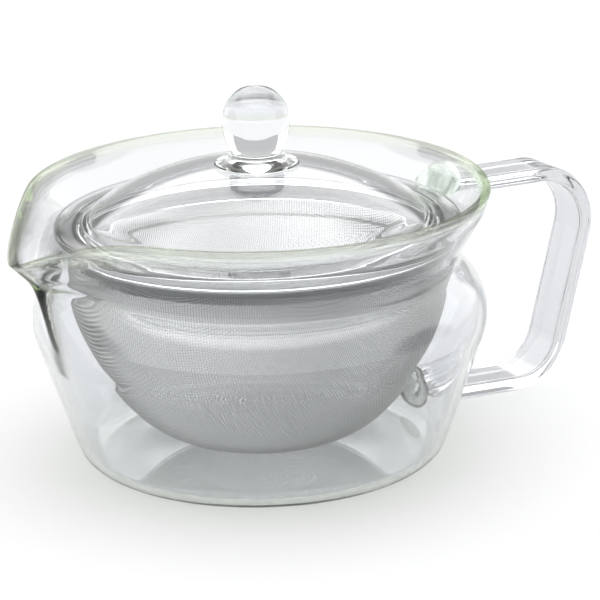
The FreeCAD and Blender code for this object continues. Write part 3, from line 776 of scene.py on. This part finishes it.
def wire_places(net, family, number, total):
    """Flat places of a wire's crossings inside the bowl's edge, and 1 or -1 for over or under."""
    count = len(net) - 1
    crossing = np.arange(-count, count + 1)
    own = np.full(len(crossing), number)
    first, second = (own, crossing) if family == "warp" else (crossing, own)
    flat = net[np.abs(first), np.abs(second)]
    flat = flat * np.where(np.column_stack([first, second]) < 0, -1, 1)
    outside = crossing[np.linalg.norm(flat, axis=1) >= total]
    kept = np.abs(crossing) < np.abs(outside).min()
    over = np.where((crossing + number) % 2 == 0, 1.0, -1.0) * (1 if family == "warp" else -1)
    return flat[kept], over[kept]


def wire_rings(points, normal, over):
    """Square rings of points along a wire that goes over and under the others."""
    centre = points + normal * (over * WIRE * WEAVE_SWING)[:, None]
    tangent = unit(np.gradient(centre, axis=0))
    beside = unit(np.cross(tangent, normal))
    upright = np.cross(beside, tangent)
    corner = WIRE / 2 * np.array([(1, 0), (0, 1), (-1, 0), (0, -1)])
    return (centre[:, None, :] + corner[None, :, :1] * upright[:, None, :]
            + corner[None, :, 1:] * beside[:, None, :])


def make_mesh(steel):
    """A flat square weave drawn into the bowl, in four pieces."""
    total, drawn = bowl_surface()
    net = weave_net(drawn, int(total / PITCH) + 2)
    cosine, sine = math.cos(WEAVE_TURN), math.sin(WEAVE_TURN)
    turn_weave = np.array([[cosine, sine, 0], [-sine, cosine, 0], [0, 0, 1]])
    groups = {}
    for family in ("warp", "weft"):
        for number in range(1 - len(net), len(net)):
            flat, over = wire_places(net, family, number, total)
            if len(flat) < 3:
                continue
            points, normal = drawn(flat)
            key = f"mesh_{family}_{'a' if number < 0 else 'b'}"
            groups.setdefault(key, []).append(wire_rings(points, normal, over) @ turn_weave)
    for key, wires in groups.items():
        points, faces, start = [], [], 0
        for ring in wires:
            rows = len(ring)
            points.append(ring.reshape(-1, 3))
            faces += grid_faces(rows, 4, start)
            faces += [[start + 3, start + 2, start + 1, start],
                      [start + 4 * rows - 4 + k for k in range(4)]]
            start += 4 * rows
        piece = make_object(key, np.vstack(points), faces, steel)
        place(piece, "strainer", "strainer_mesh")


def make_hoop(steel):
    """A strip bent round and lapped over its own end."""
    clearance, inset, lap = 0.04, 0.36, math.radians(5)
    inner, outer = HOOP_HIGH[0] - inset, HOOP_HIGH[0] - clearance
    low, high = HOOP_LOW[2] + 0.45, HOOP_HIGH[2] - 0.1
    oblong = np.array([[inner, low], [outer, low], [outer, high], [inner, high], [inner, low]])
    section = melt(oblong, softness=0.06, spacing=0.5)[:-1]
    turn = np.linspace(SEAM_TURN, SEAM_TURN + 2 * math.pi + lap, 250)
    tuck = np.clip((turn - turn[0] - 2 * math.pi + lap * 0.4) / (lap * 0.5), 0, 1) * inset
    radius = section[None, :, 0] - tuck[:, None]
    points = np.stack([radius * np.cos(turn)[:, None], radius * np.sin(turn)[:, None],
                       section[None, :, 1] + 0 * radius], axis=-1)
    rows, columns = points.shape[:2]
    faces = grid_faces(rows, columns)
    faces += [list(range(columns)), list(range(rows * columns - 1, (rows - 1) * columns - 1, -1))]
    hoop = make_object("hoop_strip", points.reshape(-1, 3), faces, steel)
    place(hoop, "strainer", "strainer_hoop")


def make_rim(steel):
    """The pressed rim that covers mesh and hoop and turns down into a hem."""
    gauge, bevel, fillet, overlap = 0.42, 0.3, 0.4, 0.4
    edge, top, foot = RING_HIGH[0], RING_HIGH[2], RING_LOW[2]
    inner = HOOP_HIGH[0] - overlap
    line = [[inner, top - gauge], [inner, top], [edge - bevel, top], [edge, top - bevel], [edge, foot],
            [edge - gauge, foot], [edge - gauge, top - gauge - bevel],
            [edge - gauge - fillet, top - gauge], [inner, top - gauge]]
    section = melt(np.array(line), softness=0.1, spacing=0.5)[:-1]
    points, faces = lathe(section[::-1], ROUND_SEGMENTS)
    rim = make_object("rim_hem", points, faces, steel)
    place(rim, "strainer", "strainer_rim")


# ---------------------------------------------------------------- lid
def dome_height(radius, depth=0.0):
    """Height of the dome's outer surface, or of one depth below it."""
    centre = LID_HIGH[2] - DOME_RADIUS
    return centre + np.sqrt((DOME_RADIUS - depth) ** 2 - radius ** 2)


def seat_points():
    """The face where knob and dome are fused, from the axis outwards."""
    radius = np.linspace(0, SEAT_RADIUS, 8)
    return np.column_stack([radius, dome_height(radius)])


def dome_line():
    """The dome's section without the knob's seat: crown, step, flange, skirt and the inside."""
    edge, low = LID_HIGH[0], LID_LOW[2]
    crown = np.linspace(SEAT_RADIUS, DOME_EDGE, 40)
    vault = np.linspace(SKIRT_INNER - 2, 0, 50)
    flange_x, skirt_x = edge - FLANGE_ROUND, SKIRT_OUTER - SKIRT_ROUND
    return join(np.column_stack([crown, dome_height(crown)]),
                [[44, FLANGE_HIGH + 0.2], [47, FLANGE_HIGH + 0.25]],
                arc((flange_x, FLANGE_HIGH - FLANGE_ROUND), FLANGE_ROUND, math.pi / 2, 0, 0.2),
                arc((flange_x, FLANGE_LOW + FLANGE_ROUND), FLANGE_ROUND, 0, -math.pi / 2, 0.2),
                [[SKIRT_OUTER, FLANGE_LOW]],
                arc((skirt_x, low + SKIRT_ROUND), SKIRT_ROUND, 0, -math.pi, 0.2),
                [[SKIRT_INNER, FLANGE_LOW + 0.5]],
                np.column_stack([vault, dome_height(vault, LID_WALL)]))


def seat_marks(on_seat, faces):
    """1 for each face whose corners all lie on the seat, else 0."""
    return [float(all(on_seat[k] for k in face)) for face in faces]


def make_lid(glass):
    """Dome, step, resting flange and locating skirt, with the knob's seat on top."""
    soft = melt(dome_line(), softness=0.55, spacing=1.1)
    soft[-1, 0] = 0
    under_knob = (np.arange(len(soft)) > len(soft) * 0.6) & (soft[:, 0] < 20)
    boss = BOSS_DEPTH * np.exp(-((soft[:, 0] - BOSS_RADIUS) / BOSS_WIDTH) ** 2)
    soft[:, 1] -= np.where(under_knob, boss, 0)
    ripple = RIPPLE * np.sin(2 * math.pi * soft[:, 0] / RIPPLE_PITCH)
    soft[:, 1] += ripple * np.exp(-((soft[:, 0] - RIPPLE_RADIUS) / RIPPLE_WIDTH) ** 4)
    profile = np.vstack([seat_points()[:-1], soft])
    points, faces = lathe(profile[::-1], ROUND_SEGMENTS)
    radius = np.linalg.norm(points[:, :2], axis=1)
    on_seat = (radius <= SEAT_RADIUS + 1e-3) & (points[:, 2] > LID_HIGH[2] - 1.2)
    dome = make_object("lid_dome_glass", points, faces, glass, fused=seat_marks(on_seat, faces))
    place(dome, "lid", "lid_dome")


def make_knob(glass):
    """A ball that tapers to a stem and spreads into the dome."""
    ball = arc((0, BALL_Z), BALL_RADIUS, math.pi / 2, math.radians(-10), 0.3)
    side = join(ball, KNOB_STEM, [[SEAT_RADIUS, dome_height(SEAT_RADIUS)]])
    soft = melt(side, softness=0.45, spacing=0.6)
    soft[0, 0] = 0
    profile = np.vstack([soft, seat_points()[::-1][1:]])
    points, faces = lathe(profile, ROUND_SEGMENTS)
    radius = np.linalg.norm(points[:, :2], axis=1)
    on_seat = np.abs(points[:, 2] - dome_height(radius)) < 1e-4
    points[on_seat, 2] -= WELD_OVERLAP
    knob = make_object("lid_knob_glass", points, faces, glass, fused=seat_marks(on_seat, faces))
    place(knob, "lid", "lid_knob")


# ---------------------------------------------------------------- stage
def make_floor():
    """A wide pale floor just under the pot's foot."""
    corner = [(-FLOOR_HALF, -FLOOR_HALF), (FLOOR_HALF, -FLOOR_HALF), (FLOOR_HALF, FLOOR_HALF),
              (-FLOOR_HALF, FLOOR_HALF)]
    mesh = bpy.data.meshes.new("floor")
    mesh.from_pydata([(x * MM, y * MM, -FLOOR_GAP * MM) for x, y in corner], [], [(0, 1, 2, 3)])
    floor = bpy.data.objects.new("floor", mesh)
    bpy.context.scene.collection.objects.link(floor)
    material, tree, output = node_material("pale_floor")
    paint = add_node(tree, "ShaderNodeBsdfDiffuse", {"Color": (FLOOR_SHADE, FLOOR_SHADE, FLOOR_SHADE, 1)})
    tree.links.new(paint.outputs[0], output.inputs["Surface"])
    mesh.materials.append(material)


def level_ramp(tree, stops, height):
    """Brightness of the studio's surroundings against height, given as pairs of both."""
    ramp = add_node(tree, "ShaderNodeValToRGB", {"Fac": height})
    elements = ramp.color_ramp.elements
    while len(elements) < len(stops):
        elements.new(0.5)
    for element, (position, level) in zip(elements, stops):
        element.position = position
        element.color = (level * COOL_SHARE, level * COOL_SHARE, level, 1)
    return ramp.outputs["Color"]


def make_light():
    """A soft studio: a bright wall behind the pot, dim walls elsewhere and a dark flag at each side."""
    world = bpy.data.worlds.new("studio")
    world.use_nodes = True
    tree = world.node_tree
    tree.nodes.clear()
    direction = tree.nodes.new("ShaderNodeTexCoord").outputs["Generated"]
    turned = add_node(tree, "ShaderNodeVectorRotate",
                      {"Vector": direction, "Angle": -math.radians(VIEW_AZIMUTH)},
                      rotation_type="Z_AXIS")
    split = add_node(tree, "ShaderNodeSeparateXYZ", {0: turned.outputs[0]})
    to_right, behind, up = split.outputs
    aside = math_node(tree, "ABSOLUTE", to_right, 0.0)
    height_on_wall = math_node(tree, "DIVIDE", up, math_node(tree, "MAXIMUM", behind, 0.02))
    backdrop = level_ramp(tree, BACKDROP, math_node(tree, "MULTIPLY", height_on_wall, 0.5))
    left_or_right = range_node(tree, to_right, (-1, 1), (LEFT_WALL, RIGHT_WALL))
    walls = scale_node(tree, level_ramp(tree, DIM_WALLS, up), left_or_right)
    flags = range_node(tree, aside, FLAG_EDGE, (1, FLAG_LEVEL), "SMOOTHSTEP")
    margin = math_node(tree, "SUBTRACT", behind, math_node(tree, "MULTIPLY", aside, BACKDROP_NARROW))
    sector = range_node(tree, margin, (0, BACKDROP_SOFTNESS), (0, 1), "SMOOTHSTEP")
    mix = add_node(tree, "ShaderNodeMix", {0: sector, 6: scale_node(tree, walls, flags), 7: backdrop},
                   data_type="RGBA")
    background = add_node(tree, "ShaderNodeBackground", {"Color": mix.outputs[2],
                                                         "Strength": STUDIO_LEVEL})
    output = tree.nodes.new("ShaderNodeOutputWorld")
    tree.links.new(background.outputs[0], output.inputs["Surface"])
    bpy.context.scene.world = world


def make_camera():
    """A long lens at the stated turn, height, roll and distance round the point it aims at."""
    azimuth, elevation = math.radians(VIEW_AZIMUTH), math.radians(VIEW_ELEVATION)
    back = Vector((math.sin(azimuth) * math.cos(elevation), -math.cos(azimuth) * math.cos(elevation),
                   math.sin(elevation)))
    right = Vector((math.cos(azimuth), math.sin(azimuth), 0))
    up = back.cross(right)
    roll = math.radians(VIEW_ROLL)
    rolled_up = up * math.cos(roll) + right * math.sin(roll)
    rolled_right = rolled_up.cross(back)
    aim = right * AIM_RIGHT + Vector((0, 0, AIM_HEIGHT))
    camera_data = bpy.data.cameras.new("camera")
    camera_data.lens, camera_data.sensor_width = LENS, SENSOR
    camera_data.clip_start = 0.01
    camera = bpy.data.objects.new("camera", camera_data)
    axes = Matrix((rolled_right, rolled_up, back)).transposed().to_4x4()
    camera.matrix_world = Matrix.Translation((aim + back * VIEW_DISTANCE) * MM) @ axes
    bpy.context.scene.collection.objects.link(camera)
    bpy.context.scene.camera = camera


# ---------------------------------------------------------------- the whole
# The weld shares given to pot and handle are painted light in the welds.
pot_glass = glass_material("pot_glass", (0.86, 0.865, 0.895), density=40.0, weld_light=0.55)
handle_glass = glass_material("handle_glass", (0.71, 0.72, 0.745), density=3.0, weld_light=0.3)
lid_glass = glass_material("lid_glass", (0.85, 0.855, 0.87), density=8.0)
knob_glass = glass_material("knob_glass", (0.86, 0.87, 0.885), density=2.0)
wire_steel = steel_material("wire_steel", (0.45, 0.455, 0.445), roughness=0.3)
# Hoop and rim are the wire's steel made darker: painted shade, for the hoop under the rim's flange and
# the rim behind the glass collar.
hoop_steel = steel_material("hoop_steel", (0.18, 0.19, 0.2), roughness=0.28, streak=0.1)
rim_steel = steel_material("rim_steel", (0.12, 0.125, 0.125), roughness=0.3, streak=0.1)

make_handle(make_pot(pot_glass), handle_glass)
make_mesh(wire_steel)
make_hoop(hoop_steel)
make_rim(rim_steel)
make_lid(lid_glass)
make_knob(knob_glass)
make_floor()
make_light()
make_camera()

scene = bpy.context.scene
scene.view_settings.view_transform = "Standard"
scene.cycles.max_bounces = 32
scene.cycles.transmission_bounces = 32
scene.cycles.transparent_max_bounces = 32
